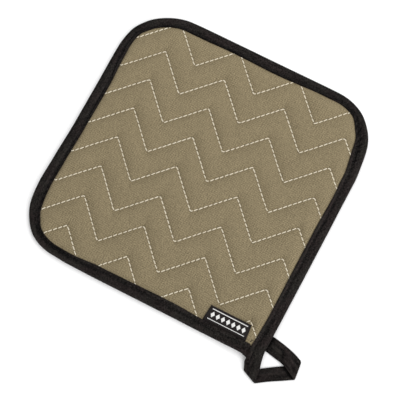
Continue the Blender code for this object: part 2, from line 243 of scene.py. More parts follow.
# The sharp corner: the tape begins under its own other end, which runs on past the pad as a strip.
SEWN_UNDER = (  # distance from the corner, how far the fold flares out, how full the tape is
    (9.4, 1.3, 0.5),
    (10.6, 1.15, 0.58),
    (11.6, 0.95, 0.86),
    (12.6, 0.7, 0.98),
    (13.6, 0.4, 1.0),
    (15.0, 0.1, 1.0),
    (16.5, 0.0, 1.0),
)
CORNER_STRIP = (  # outer x, outer y, inner x, inner y, how far the tape is open (1 over the pad)
    (101.9, -92.5, 91.5, -92.5, 1.0),
    (102.2, -96.6, 91.3, -96.0, 1.0),
    (102.7, -99.8, 91.6, -99.0, 1.0),
    (103.1, -102.0, 91.8, -101.4, 0.95),
    (103.6, -103.8, 91.8, -103.2, 0.55),
    (104.0, -105.4, 91.9, -104.8, 0.18),
    (104.3, -106.9, 91.9, -106.3, 0.0),
)
STRIP_STEPS = 4
CORNER_CLEAR = 14.0

# Hanging loop: the tape folded over twice. Side a is its left side where it leaves the pad.
ON_FLOOR = HALF[0]
ON_TAPE = LIFT + ON_FLOOR
LEG_STEPS = 16
FOLD_STEPS = 12
LOOP_LINES = (  # place, a x, a y, b x, b y, middle height, way its face looks (1 up, -1 down)
    ("leaves_the_binding", 91.95, -106.8, 104.4, -107.4, ON_TAPE, 1),
    ("first_crease", 93.7, -110.8, 105.1, -115.5, ON_TAPE, 1),
    ("first_crease", 96.5, -111.9, 106.8, -116.2, ON_FLOOR, -1),
    ("cross_leg", 107.4, -103.9, 113.6, -111.5, ON_FLOOR, -1),
    ("cross_leg", 115.0, -98.8, 121.0, -107.0, ON_FLOOR, -1),
    ("cross_leg", 121.0, -95.0, 124.7, -104.7, ON_FLOOR, -1),
    ("second_crease", 126.4, -91.4, 128.0, -102.6, ON_FLOOR, -1),
    ("second_crease", 127.0, -87.8, 128.1, -101.5, ON_TAPE, 1),
    ("return_leg", 121.4, -85.6, 121.6, -98.2, ON_TAPE, 1),
    ("return_leg", 116.8, -84.3, 116.4, -96.0, 1.8, 1),
    ("return_leg", 110.8, -82.9, 109.4, -94.7, 1.0, 1),
    ("return_leg", 103.5, -81.7, 101.9, -93.3, ON_FLOOR, 1),
    ("sewn_end", 93.6, -80.3, 92.2, -91.6, ON_FLOOR, 1),
)
# Soft troughs in the loop's legs. One of negative depth is a ridge. Only the tape's faces take them, which
# lie further than FACE_LEVEL from its middle.
CREASES = (  # leg, share of the way along it, share of the way across, slant in degrees, length, depth
    (0, 0.05, 0.75, 60.0, 4.0, 0.2),
    (0, 0.2, 0.35, 40.0, 4.0, 0.1),
    (0, 0.5, 0.5, 10.0, 5.0, -0.1),
    (0, 0.75, 0.7, 30.0, 4.0, 0.12),
    (1, 0.15, 0.5, 70.0, 5.0, 0.1),
    (1, 0.5, 0.6, 5.0, 7.0, -0.1),
    (1, 0.85, 0.6, 110.0, 6.0, 0.12),
    (2, 0.06, 0.3, 60.0, 4.0, 0.2),
    (2, 0.16, 0.53, 19.0, 5.5, -0.3),
    (2, 0.39, 0.39, 60.0, 4.5, 0.3),
    (2, 0.44, 0.7, 100.0, 5.0, 0.12),
    (2, 0.51, 0.5, 3.0, 6.5, -0.35),
    (2, 0.66, 0.3, 70.0, 5.0, 0.15),
)
CREASE_HALF = 0.9
# Each trough is painted darker and each ridge lighter: painted shade and light.
CREASE_SHADE_AND_LIGHT = 0.8
FACE_LEVEL = 0.9 * HALF[0]

# Painted shade beside a fold of tape that crosses over the loop, fainter at the loop's first fold.
CREVICE_SHADE = 0.5
CREVICE_REACH = 2.4
CREVICE_STATIONS = 45
FIRST_CREVICE = 0.12

# Label.
LABEL_BASE = np.array(((51.9, -94.7), (86.3, -94.4)))
LABEL_FREE = np.array(((53.2, -82.6), (85.4, -82.3)))
LABEL_SIZE = (33.2, 12.2)
LABEL_THICKNESS = 0.35
LABEL_CLEAR = 0.2
LABEL_LIFT = 0.5
LABEL_TUCK = EDGE_HIGH + 0.1
LABEL_DIVE_START = -1.2
LABEL_DIVE_RUN = 2.6
LABEL_COLUMNS = 44
LABEL_ROWS = 14

# Camera, as the photograph was taken. Headings turn from x towards y, in degrees.
HEADING = -53.03
ELEVATION = 76.68
ROLL = 9.35
DISTANCE = 740.0
TARGET = (8.8, -16.9, 0.0)
LENS = 90.0
SENSOR = 36.0

# Light: the floor's half side and glow, the surround's strength, and two soft lamps.
FLOOR_REACH = 3.0
FLOOR_COLOUR = (0.94, 0.94, 0.94, 1.0)
FLOOR_GLOW = 0.06
SURROUND = 0.66
LAMPS = (  # name, heading and height in degrees, distance, size, power
    ("far_light", -14.0, 42.0, 2.4, 2.0, 31.6),
    ("near_light", 96.0, 60.0, 0.6, 0.45, 1.3),
)

# The edge's points, outward normals, tape widths, distances along it and looks.
Edge = namedtuple("Edge", "points normals widths along looks")
# The tape's fold and inner lines, facing, and how far it is open over the pad and filled out, and its look.
Strip = namedtuple("Strip", "outer inner face open full look")


# Numbers


def smooth(share):
    """0 to 1 with level ends."""
    share = np.clip(share, 0.0, 1.0)
    return share * share * (3.0 - 2.0 * share)


def mix(low, high, share):
    """From low at 0 to high at 1."""
    return low + (high - low) * share


def dot(a, b):
    """Dot products of rows of vectors."""
    return (a * b).sum(-1)


def unit(vectors):
    """The same directions at length 1."""
    return vectors / np.linalg.norm(vectors, axis=-1, keepdims=True)


def eased(knots, places):
    """Values at places, easing between (place, value) pairs in order."""
    at, values = np.array(knots).T
    places = np.clip(places, at[0], at[-1])
    index = np.clip(np.searchsorted(at, places, side="right") - 1, 0, len(at) - 2)
    return mix(values[index], values[index + 1], smooth((places - at[index]) / (at[index + 1] - at[index])))


def distances(points):
    """How far along a line of points each one lies."""
    return np.append(0.0, np.cumsum(np.linalg.norm(np.diff(points, axis=0), axis=1)))


def resampled(rows, steps):
    """Rows of numbers with smooth in-between rows, through each given one."""
    padded = np.concatenate((2 * rows[:1] - rows[1:2], rows, 2 * rows[-1:] - rows[-2:-1]))
    made = []
    for i in range(1, len(padded) - 2):
        before, start, end, after = padded[i - 1 : i + 3]
        bend = 2 * before - 5 * start + 4 * end - after
        twist = 3 * start - before - 3 * end + after
        for t in np.arange(steps) / steps:
            made.append(0.5 * (2 * start + (end - before) * t + bend * t**2 + twist * t**3))
    made.append(rows[-1])
    return np.array(made)


# The pad's edge


def outline():
    """The edge clockwise from the sharp corner back to it."""
    corners = [Vector((x, y)) for _, x, y, _ in CORNERS]
    radii = [radius for *_, radius in CORNERS]
    count = len(corners)
    runs = [(corners[(i + 1) % count] - corners[i]).normalized() for i in range(count)]
    normals = [Vector((-run.y, run.x)) for run in runs]
    setbacks = [radii[i] * math.tan(0.5 * runs[i - 1].angle(runs[i])) for i in range(count)]
    steps_of = dict(STRETCHES)
    steps = list(steps_of.values())
    first_step = dict(zip(steps_of, np.cumsum((0, *steps))))

    line = []
    for side, normal in enumerate(normals):
        ahead = (side + 1) % count
        start = corners[side] + runs[side] * setbacks[side]
        end = corners[ahead] - runs[side] * setbacks[ahead]
        side_steps = steps[2 * side]
        line += [(start.lerp(end, step / side_steps), normal) for step in range(side_steps)]
        if not radii[ahead]:
            line.append((end, normal))
            continue
        centre = end - normal * radii[ahead]
        first, turn = math.atan2(normal.y, normal.x), normal.angle(normals[ahead])
        arc_steps = steps[2 * side + 1]
        for step in range(arc_steps):
            angle = first - turn * step / arc_steps
            outward = Vector((math.cos(angle), math.sin(angle)))
            line.append((centre + outward * radii[ahead], outward))
    points, facing = (np.array(column) for column in zip(*line))

    def columns(table):
        """Each column's values at every step of the edge."""
        at = [first_step[name] + share * steps_of[name] for name, share, *_ in table]
        return [eased(list(zip(at, values)), np.arange(len(points))) for values in list(zip(*table))[2:]]

    out, widths = columns(SEWN_EDGE)
    points = points + facing * out[:, None]
    return Edge(points, facing, widths, distances(points), np.column_stack(columns(TAPE_LOOK)))


def edge_at(edge, places):
    """For each place: its distance inside the outline, and the tape's width there."""
    starts, runs = edge.points[:-1], np.diff(edge.points, axis=0)
    lengths = np.diff(edge.along)
    inset, width = [], []
    for some in np.array_split(places, len(places) // PLACES_AT_ONCE + 1):
        from_start = some[:, None] - starts
        shares = np.clip(dot(from_start, runs) / lengths**2, 0.0, 1.0)
        gaps = from_start - runs * shares[..., None]
        away = np.linalg.norm(gaps, axis=2)
        nearest = away.argmin(axis=1)
        rows = np.arange(len(some))
        share = shares[rows, nearest]
        outside = dot(gaps[rows, nearest], edge.normals[nearest]) > 0.0
        inset.append(np.where(outside, -1.0, 1.0) * away[rows, nearest])
        width.append(mix(edge.widths[nearest], edge.widths[nearest + 1], share))
    return np.concatenate(inset), np.concatenate(width)


def past_tape(edge, places):
    """Distances from the tape's inner edge into the pad."""
    inset, width = edge_at(edge, places)
    return inset - width


def past_corner(edge, places):
    """Distances from the sharp corner."""
    return np.linalg.norm(places - edge.points[0], axis=1)


def lift(x, y):
    """How far the corner is raised over the loop's sewn-in end."""
    away = np.hypot(x - LIFT_CENTRE[0], y - LIFT_CENTRE[1]) - LIFT_FULL
    return LIFT * (1.0 - smooth(away / LIFT_REACH))


# The pad's surface


def zigzag(x, ease=0.0):
    """Y of the first row at x, its corners rounded over a width of ease."""
    phase = ((x - FIRST_PEAK_X) / HALF_PERIOD) % 2.0
    from_peak = np.minimum(phase, 2.0 - phase)
    from_valley = 1.0 - from_peak
    ease = ease / HALF_PERIOD
    at_peak = np.hypot(from_peak, ease) - from_peak
    at_valley = np.hypot(from_valley, ease) - from_valley
    return FIRST_PEAK_Y - AMPLITUDE * (from_peak + at_peak - at_valley)


def columns_across(per_arm):
    """X of columns right across the pad, so many to an arm of the zigzag, with one at each peak."""
    reach = CORNERS[3][1]
    first = math.floor((-reach - FIRST_PEAK_X) / HALF_PERIOD * per_arm)
    last = math.ceil((reach - FIRST_PEAK_X) / HALF_PERIOD * per_arm)
    return FIRST_PEAK_X + HALF_PERIOD / per_arm * np.arange(first, last + 1)


def from_stitch(x, y):
    """Distance from the nearest row, its corners easing and the puff's ridge rounding off away from it."""
    place = (zigzag(x) - y) / ROW_PITCH
    above = np.floor(place)
    gaps = []
    for row in (above, above + 1.0):
        sharp = zigzag(x) - row * ROW_PITCH - y
        eased_gap = zigzag(x, CORNER_EASE * abs(sharp)) - row * ROW_PITCH - y
        gaps.append(abs(eased_gap) * ARM_COSINE)
    together = np.exp(-gaps[0] / RIDGE_EASE) + np.exp(-gaps[1] / RIDGE_EASE)
    return np.maximum(-RIDGE_EASE * np.log(together), 0.0)


def unevenness(x, y):
    """Broad soft rises and falls of the wadding."""
    total = 0.0
    for wavelength, heading, start, height in UNEVEN:
        heading, start = math.radians(heading), math.radians(start)
        run = x * math.cos(heading) + y * math.sin(heading)
        total = total + height * np.sin(2.0 * math.pi * run / wavelength + start)
    return total


def puff_top(from_tape):
    """Height of the puffs at a distance from the tape."""
    away = 1.0 - np.clip(from_tape / CROWN_RUN, 0.0, 1.0)
    return mix(PUFF_TOP, TAPE_SIDE_TOP, away * away)


def top_lift(x, y, from_tape):
    """The raised corner's top, which the wadding takes up in part away from the tape."""
    return lift(x, y) * (1.0 - LIFT_SQUEEZE * smooth(from_tape / CROWN_RUN))


def pad_top(edge, places):
    """Heights of the pad's upper face."""
    x, y = places.T
    from_tape = past_tape(edge, places)
    fullness = 1.0 - (1.0 - np.minimum(from_stitch(x, y) / PUFF_REACH, 1.0)) ** PUFF_POWER
    height = mix(STITCH_TOP, puff_top(from_tape) + unevenness(x, y), fullness)
    dive = smooth((from_tape - DIVE_START) / (DIVE_END - DIVE_START))
    return mix(EDGE_HIGH, height, dive) + top_lift(x, y, from_tape)


def pad_underside(edge, places):
    """Heights of the pad's lower face: flat on the floor but for the sewn channels."""
    x, y = places.T
    dive = smooth((past_tape(edge, places) - DIVE_START) / (DIVE_END - DIVE_START))
    height = UNDER_GROOVE * (1.0 - smooth(from_stitch(x, y) / UNDER_GROOVE_HALF))
    return mix(EDGE_LOW, height, dive) + lift(x, y)


# Meshes


def added(name, data):
    """A new object in the scene."""
    item = bpy.data.objects.new(name, data)
    bpy.context.scene.collection.objects.link(item)
    return item


def make_piece(name, points, faces, finish, marks):
    """A smooth piece on the one body, from points in millimetres. Its finish reads the points' marks."""
    mesh = bpy.data.meshes.new(name)
    mesh.from_pydata((np.asarray(points) * MM).tolist(), [], faces)
    for mark, values in marks.items():
        values = np.asarray(values, dtype=np.float32)
        kind, field = ("FLOAT", "value") if values.ndim == 1 else ("FLOAT_VECTOR", "vector")
        mesh.attributes.new(mark, kind, "POINT").data.foreach_set(field, values.ravel())
    bm = bmesh.new()
    bm.from_mesh(mesh)
    bmesh.ops.recalc_face_normals(bm, faces=bm.faces[:])
    bm.to_mesh(mesh)
    bm.free()
    mesh.shade_smooth()
    mesh.materials.append(finish)
    piece = added(name, mesh)
    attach(piece, "root")
    return piece


def loft(sections):
    """Points and faces of a closed body through sections of equally many points."""
    count = len(sections[0])
    here = np.arange(count)
    ahead = (here + 1) % count
    faces, last = [], (len(sections) - 1) * count
    for near in range(0, last, count):
        far = near + count
        faces += np.stack((near + here, near + ahead, far + ahead, far + here), axis=1).tolist()
    faces += [here.tolist(), (last + here[::-1]).tolist()]
    return np.concatenate(sections), faces


def joined(bodies):
    """Several bodies as one mesh's points, faces and marks."""
    points, faces, marks = zip(*bodies)
    firsts = np.cumsum([0, *map(len, points)])
    faces = [[i + first for i in face] for first, some in zip(firsts.tolist(), faces) for face in some]
    return np.concatenate(points), faces, np.concatenate(marks)


# Quilted cloth


def quilted_cloth(edge, finish):
    """The pad's cloth: columns and lines follow the stitching, cut to the rim inside the tape."""
    x = columns_across(COLUMNS_PER_ARM)
    beside = np.array(LINES_BESIDE_ROW)
    row_lines = np.append(beside, ROW_PITCH - beside[-2:0:-1])
    rows = np.arange(SEWN_ROWS[0] - 2, SEWN_ROWS[-1] + 3)
    drops = (rows[:, None] * ROW_PITCH + row_lines).ravel()
    flat = np.stack(np.broadcast_arrays(x[:, None], zigzag(x)[:, None] - drops), axis=2)
    across, down = flat.shape[:2]
    flat = flat.reshape(-1, 2)

    inset, width = edge_at(edge, flat)
    inside = ((inset > CLOTH_RIM) & (past_corner(edge, flat) > CORNER_CUT)).reshape(across, down)
    kept = inside[:-1, :-1] & inside[1:, :-1] & inside[1:, 1:] & inside[:-1, 1:]
    column, line = np.nonzero(kept)
    corner = column * down + line
    faces = np.stack((corner, corner + 1, corner + down + 1, corner + down), axis=1)
    used, faces = np.unique(faces, return_inverse=True)
    faces = faces.reshape(-1, 4)
    flat, count = flat[used], len(used)
    sides = {(i, j) for face in faces.tolist() for i, j in zip(face, face[1:] + face[:1])}
    rim = [(i, j) for i, j in sides if (j, i) not in sides]

    top = np.column_stack((flat, pad_top(edge, flat)))
    under = np.column_stack((flat, pad_underside(edge, flat)))
    all_faces = faces.tolist() + (faces[:, ::-1] + count).tolist()
    all_faces += [[j, i, i + count, j + count] for i, j in rim]
    arms = (flat[:, 0] - FIRST_PEAK_X) / HALF_PERIOD
    sewn = np.column_stack((from_stitch(*flat.T), arms, inset[used] - width[used]))
    marks = {"sewn": np.concatenate((sewn, sewn))}
    points = np.concatenate((top, under))
    piece = make_piece("quilted_cloth", points, all_faces, finish, marks)
    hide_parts("quilted_pad")
    return piece


# Stitches


def rings_round(middle, side, up, radius):
    """A ring of points round each place on a thread's middle line."""
    around = side[:, None] * np.cos(THREAD_RING)[:, None] + up[:, None] * np.sin(THREAD_RING)[:, None]
    return middle[:, None] + around * radius


def sew(path, ups, pitch, radius, rise, start, chance, slant=0.0):
    """Stitches along a path on a surface, as bodies with their thread marks. Each dives in at both ends."""
    along = distances(path)
    stitches = []
    for number in range(int((along[-1] - start) / pitch)):
        slip = [chance.uniform(-STITCH_SLIP, STITCH_SLIP) * pitch for _ in range(2)]
        first = start + number * pitch + slip[0]
        places = first + STITCH_PLACES * (pitch + slip[1] - slip[0])
        if places[0] < 0.0 or places[-1] > along[-1]:
            continue
        middle, up = (
            np.stack([np.interp(places, along, column) for column in rows.T], axis=1) for rows in (path, ups)
        )
        up = unit(up)
        side = unit(np.cross(unit(np.gradient(middle, axis=0)), up))
        middle = middle + up * (rise - STITCH_SINK * radius)[:, None]
        middle = middle + side * chance.uniform(-STITCH_SWAY, STITCH_SWAY)
        middle = middle - side * ((STITCH_PLACES - 0.5) * slant * pitch)[:, None]
        fat = (radius * STITCH_FATNESS)[:, None, None]
        points, faces = loft(rings_round(middle, side, up * THREAD_FLATNESS, fat))
        twist = np.stack(np.broadcast_arrays(places[:, None], THREAD_RING, chance.random()), axis=2)
        stitches.append((points, faces, twist.reshape(-1, 3)))
    return stitches


def quilting_thread(edge, finish, name, surface, up):
    """One face's stitches along every row, with a needle hole at each peak."""
    chance = random.Random(name)
    pitch = ARM / STITCHES_PER_ARM
    arms = columns_across(1)
    x = np.linspace(arms[0], arms[-1], (len(arms) - 1) * THREAD_STEPS_PER_ARM + 1)
    stitches = []
    for row in SEWN_ROWS:
        flat = np.column_stack((x, zigzag(x, THREAD_EASE) - row * ROW_PITCH))
        shown = (past_tape(edge, flat) > -ROW_UNDER_TAPE) & (past_corner(edge, flat) > ROW_FROM_CORNER)
        cuts = np.flatnonzero(np.diff(shown.astype(int))) + 1
        for part in np.split(np.arange(len(x)), cuts):
            if not shown[part[0]] or len(part) < SHORTEST_ROW:
                continue
            path = np.column_stack((flat[part], surface(edge, flat[part])))
            ups = np.tile((0.0, 0.0, up), (len(path), 1))
            start = -(part[0] / THREAD_STEPS_PER_ARM * ARM % pitch)
            stitches += sew(path, ups, pitch, THREAD_RADIUS, THREAD_RISE, start, chance, THREAD_SLANT)
    points, faces, marks = joined(stitches)
    return make_piece(name, points, faces, finish, {"thread": marks})


# Tape


def half_section(width, open_share, seam_share, side):
    """Half of the tape's section, from the fold round to the slit: reach from the fold, and height.

    Its face runs over the nose, the groove along the seam and the lip. Side is 1 above and -1 below.
    """
    layer, half, nose, groove = (mix(*pair, open_share) for pair in (LAYER, HALF, NOSE, GROOVE))
    crown = mix(*CROWN, open_share) if side > 0 else 0.0
    angles = np.radians(np.linspace(0.0, 90.0, NOSE_STEPS, endpoint=False))
    nose_reach = nose * (1.0 - np.cos(angles))
    nose_height = half * np.sin(angles)
    inner = width - LIP_RADIUS
    seam = width * seam_share
    face_reach = np.concatenate((
        np.linspace(nose, seam - GROOVE_WIDE, ROLL_STEPS, endpoint=False),
        np.linspace(seam - GROOVE_WIDE, seam + GROOVE_WIDE, GROOVE_STEPS, endpoint=False),
        np.linspace(min(seam + GROOVE_WIDE, inner - LIP_RADIUS), inner, GROOVE_STEPS),
    ))
    share = (face_reach - nose) / (inner - nose)
    dip = groove * np.exp(-(((face_reach - seam) / GROOVE_WIDE) ** 2))
    face_height = half + crown * np.sin(math.pi * np.clip(share, 0.0, 1.0)) ** CROWN_POWER - dip
    turn = np.radians(np.linspace(0.0, 180.0, LIP_STEPS + 2)[1:-1])
    lip_reach = inner + LIP_RADIUS * np.sin(turn)
    lip_height = half - 0.5 * layer * (1.0 - np.cos(turn))
    slit_reach = np.array((inner, nose))
    slit_height = np.full(2, half - layer)
    reach = np.concatenate((nose_reach, face_reach, lip_reach, slit_reach))
    height = np.concatenate((nose_height, face_height, lip_height, slit_height))
    return reach, side * height


def section_shape(width, open_share, seam_share):
    """The whole section: over the top from the fold to the slit, and back underneath."""
    top_reach, top_height = half_section(width, open_share, seam_share, 1)
    low_reach, low_height = half_section(width, open_share, seam_share, -1)
    return np.append(top_reach, low_reach[:0:-1]), np.append(top_height, low_height[:0:-1])


def girth(reach, height):
    """How far round the section each point lies from the fold, negative underneath."""
    steps = np.hypot(np.diff(reach, append=reach[0]), np.diff(height, append=height[0]))
    over = np.append(0.0, np.cumsum(steps[: HALF_POINTS - 1]))
    under = np.cumsum(steps[: HALF_POINTS - 1 : -1])
    return np.append(over, -under[::-1])


def tape_lines(edge):
    """The tape from end to end as a strip, and the first and last station of each of the loop's legs."""
    lines = []
    corner, ahead = edge.points[0], unit(edge.points[1] - edge.points[0])
    for away, flare, full in SEWN_UNDER:
        outer = corner + ahead * away
        inner = outer - edge.normals[0] * np.interp(away, edge.along, edge.widths)
        lines.append((outer + edge.normals[0] * flare, inner, 1.0, full, edge.looks[0]))
    away = past_corner(edge, edge.points)
    begun = np.arange(len(away)) < len(away) // 2
    clear = away > np.where(begun, SEWN_UNDER[-1][0] + 1.0, CORNER_CLEAR)
    for index in np.flatnonzero(clear):
        outer = edge.points[index]
        inner = outer - edge.normals[index] * edge.widths[index]
        lines.append((outer, inner, 1.0, 1.0, edge.looks[index]))
    for row in resampled(np.array(CORNER_STRIP), STRIP_STEPS):
        lines.append((row[0:2], row[2:4], row[4], 1.0, mix(np.array(LOOP_LOOK), edge.looks[-1], row[4])))
    outer, inner, opened, full, look = (np.array(column) for column in zip(*lines))
    half = mix(*HALF, opened)
    outer = np.column_stack((outer, half + lift(*outer.T)))
    inner = np.column_stack((inner, half + lift(*inner.T)))
    face = np.tile((0.0, 0.0, 1.0), (len(outer), 1))

    course = Strip(outer, inner, face, opened, full, look)
    loop, legs = loop_lines()
    legs = [(first + len(outer), last + len(outer)) for first, last in legs]
    return Strip(*map(np.concatenate, zip(course, loop))), legs


def loop_lines():
    """The loop as a strip, rolling over at each crease, and the first and last station of each leg."""
    legs = []
    for _, *line, faces_up in LOOP_LINES:
        if not legs or legs[-1][0] != faces_up:
            legs.append((faces_up, []))
        legs[-1][1].append(line)

    outer, inner, face, stations = [], [], [], []
    up = np.array((0.0, 0.0, 1.0))
    for (faces_up, lines), following in zip(legs, legs[1:] + [None]):
        rows = resampled(np.array(lines), LEG_STEPS)
        stations.append((len(outer), len(outer) + len(rows) - 1))
        for ax, ay, bx, by, height in rows:
            outer.append((bx, by, height))
            inner.append((ax, ay, height))
            face.append(up * faces_up)
        if not following:
            break
        last, ahead = rows[-1], np.array(following[1][0])
        outward = unit(np.cross((*(last[2:4] - last[:2]), 0.0), up))
        if np.dot(outward[:2], last[:2] + last[2:4] - rows[-2][:2] - rows[-2][2:4]) < 0.0:
            outward = -outward
        high, low = last[4], ahead[4]
        middle, radius = 0.5 * (high + low), 0.5 * abs(high - low)
        for step in range(1, FOLD_STEPS):
            angle = math.pi * step / FOLD_STEPS
            shift = outward * radius * math.sin(angle) + up * (middle + (high - middle) * math.cos(angle))
            here = mix(last, ahead, step / FOLD_STEPS)
            outer.append(np.append(here[2:4], 0.0) + shift)
            inner.append(np.append(here[:2], 0.0) + shift)
            face.append(outward * math.sin(angle) + up * faces_up * math.cos(angle))
    count = len(outer)
    flat, full, look = np.zeros(count), np.ones(count), np.tile(LOOP_LOOK, (count, 1))
    return Strip(np.array(outer), np.array(inner), np.array(face), flat, full, look), stations


def creased(along, reach, width, spans):
    """How deep the loop's soft troughs, or how high its ridges, are at points of the tape's faces."""
    depth = np.zeros(len(reach))
    for leg, share, across, slant, length, deep in CREASES:
        start, end = spans[leg]
        slant = math.radians(slant)
        off_along = along - mix(start, end, share)
        off_reach = reach - across * width
        down = off_along * math.cos(slant) + off_reach * math.sin(slant)
        beside = off_reach * math.cos(slant) - off_along * math.sin(slant)
        depth += deep * np.exp(-((beside / CREASE_HALF) ** 2) - (2.0 * down / length) ** 2)
    return depth


def painted_light_and_shade(reach, width, look):
    """Painted light and shade across the tape: at its seam, lip, outer part, inner edge and fold."""
    seam_place, seam, lip, outer, inner_edge, fold, _ = look
    from_seam = reach - seam_place * width
    from_inner = width - reach
    tone = -seam * SEAM_SHADE * np.exp(-((from_seam / SEAM_HALF) ** 2))
    tone -= max(seam - 1.0, 0.0) * SECOND_SHADE * np.exp(-(((from_seam - SECOND_PLACE) / SECOND_HALF) ** 2))
    tone += lip * LIP_HIGHLIGHT * smooth((from_seam - LIP_START) / (LIP_FULL - LIP_START))
    tone += outer * OUTER_LIGHT_AND_SHADE * (1.0 - reach / width / OUTER_LEVEL) * (from_seam < 0.0)
    tone -= inner_edge * EDGE_SHADE * (1.0 - smooth((from_inner - EDGE_FULL) / (EDGE_NONE - EDGE_FULL)))
    return tone - fold * FOLD_SHADE * (1.0 - smooth(reach / FOLD_REACH))


def crevices(sections, strip, legs):
    """Painted shade on the loop: how near each upper point lies to a fold of tape that crosses over it, 1 at
    the fold.
    """
    fold = np.array([section[0, :2] for section in sections])
    first_leg, cross_leg, return_leg = legs
    crossings = (
        (cross_leg, fold[first_leg[0] : first_leg[1] + 1], FIRST_CREVICE),
        (cross_leg, fold[return_leg[0] : return_leg[1] + 1], 1.0),
        (return_leg, fold[first_leg[0] - CREVICE_STATIONS : first_leg[0]], 1.0),
    )
    near = [np.zeros(len(section)) for section in sections]
    for (first, last), folds, depth in crossings:
        for number in range(first, last + 1):
            section = sections[number]
            away = np.linalg.norm(section[:, None, :2] - folds, axis=2).min(axis=1)
            upper = section[:, 2] > strip.outer[number, 2]
            near[number] = np.maximum(near[number], depth * upper * (1.0 - smooth(away / CREVICE_REACH)))
    return np.concatenate(near)


def binding_tape(edge, finish):
    """The tape and its loop, lofted as one length. Returns the piece, its length and its two seam lines."""
    strip, legs = tape_lines(edge)
    across = strip.inner - strip.outer
    widths = np.linalg.norm(across, axis=1)
    across = across / widths[:, None]
    middle = 0.5 * (strip.outer + strip.inner)
    along = distances(middle)
    spans = [(along[first], along[last]) for first, last in legs]
    sections, places, tones = [], [], []
    for number, width in enumerate(widths):
        seam_place = strip.look[number, 0]
        reach, height = section_shape(width, strip.open[number], seam_place)
        height = height * strip.full[number]
        # Painted shade in the seam's groove, at the inner edge and along the fold, a painted highlight on the
        # lip, and painted light and shade on the outer part.
        tone = painted_light_and_shade(reach, width, strip.look[number])
        if number >= legs[0][0]:
            outside = np.abs(height) > FACE_LEVEL
            trough = outside * creased(along[number], reach, width, spans)
            height = height - np.sign(height) * trough
            # Painted shade in the creases' troughs and painted light on their ridges.
            tone = tone - CREASE_SHADE_AND_LIGHT * trough
        section = strip.outer[number] + reach[:, None] * across[number] + height[:, None] * strip.face[number]
        sections.append(section)
        from_seam = reach - width * seam_place
        places.append(np.column_stack((np.full(len(reach), along[number]), girth(reach, height), from_seam)))
        tones.append(tone)
    points, faces = loft(sections)
    # Painted shade beside each fold of tape that crosses over the loop.
    tones = np.concatenate(tones) - CREVICE_SHADE * crevices(sections, strip, legs)
    around = len(sections[0])
    marks = {
        "tape_place": np.concatenate(places),
        # The tape's painted light and shade: across it, in its creases and beside folds that cross over the
        # loop.
        "painted_light_and_shade": tones,
        "pressed": np.repeat(1.0 - strip.open, around),
        "puckered": np.repeat(strip.look[:, -1], around),
    }
    piece = make_piece("binding_tape", points, faces, finish, marks)
    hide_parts("edge_binding", "hanging_loop")
    top = np.array([section[TOP_GROOVE] for section in sections])
    low = np.array([section[LOW_GROOVE] for section in sections])
    return piece, along[-1], (top, strip.face), (low, -strip.face)


def topstitching(edge, lines, finish):
    """The seam that holds the tape, with a line of stitches on each of its faces and one loose end."""
    chance = random.Random("topstitching")
    stitches = []
    for path, ups in lines:
        stitches += sew(path, ups, TOPSTITCH, TOPSTITCH_RADIUS, TOPSTITCH_RISE, TOPSTITCH_START, chance)
    tail = resampled(np.array(LOOSE_END), LOOSE_END_STEPS)
    tail[:, 2] += pad_top(edge, tail[:, :2])
    run = unit(np.gradient(tail, axis=0))
    side = unit(np.cross(run, (0.0, 0.0, 1.0)))
    points, faces = loft(rings_round(tail, side, np.cross(side, run), LOOSE_END_RADIUS))
    stitches.append((points, faces, np.zeros((len(points), 3))))
    points, faces, marks = joined(stitches)
    return make_piece("topstitching", points, faces, finish, {"thread": marks})


# Label


def label(edge, finish):
    """The woven label: tucked under the tape at its base and lying over the puffs."""
    u, v = np.meshgrid(np.linspace(0, 1, LABEL_COLUMNS), np.linspace(0, 1, LABEL_ROWS), indexing="ij")
    base, free = (mix(*ends, u[..., None]) for ends in (LABEL_BASE, LABEL_FREE))
    flat = mix(base, free, v[..., None]).reshape(-1, 2)
    from_tape = past_tape(edge, flat)
    rest = puff_top(from_tape) + unevenness(*flat.T)
    dive = smooth((from_tape - LABEL_DIVE_START) / LABEL_DIVE_RUN)
    height = mix(LABEL_TUCK, rest, dive) + top_lift(*flat.T, from_tape) + LABEL_CLEAR
    height = height + LABEL_LIFT * v.ravel() ** 2
    low = np.column_stack((flat, height)).reshape(*u.shape, 3)
    places = np.stack((u * LABEL_SIZE[0], v * LABEL_SIZE[1], np.zeros_like(u)), axis=2)

    def both_faces(lower, upper):
        """Each column's values along its lower face and back along its upper one."""
        return np.concatenate((lower, upper[:, ::-1]), axis=1)

    points, faces = loft(both_faces(low, low + (0.0, 0.0, LABEL_THICKNESS)))
    marks = {"label_place": both_faces(places, places).reshape(-1, 3)}
    piece = make_piece("label", points, faces, finish, marks)
    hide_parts("woven_label")
    return piece


# Finishes


def maths(operation, reflected=False):
    """A Wire's method that adds one Math node, with the wire itself first or, reflected, last."""

    def method(wire, *others):
        values = (*others, wire) if reflected else (wire, *others)
        return wire.finish.node("ShaderNodeMath", {"operation": operation}, dict(enumerate(values)))

    return method


class Wire:
    """An output socket that takes Python's operators. An expression on it adds its Math nodes."""

    def __init__(self, finish, socket):
        self.finish = finish
        self.socket = socket

    __add__ = __radd__ = maths("ADD")
    __sub__ = maths("SUBTRACT")
    __rsub__ = maths("SUBTRACT", reflected=True)
    __mul__ = __rmul__ = maths("MULTIPLY")
    __truediv__ = maths("DIVIDE")
    __abs__ = maths("ABSOLUTE")
    sin, cos, sign = maths("SINE"), maths("COSINE"), maths("SIGN")
    floor, fraction, snap = maths("FLOOR"), maths("FRACT"), maths("SNAP")
    over = maths("MAXIMUM")

    def ramp(self, low, high):
        """0 at low to 1 at high, easing at both."""
        settings = {"interpolation_type": "SMOOTHSTEP"}
        return self.finish.node("ShaderNodeMapRange", settings, {0: self, 1: low, 2: high})


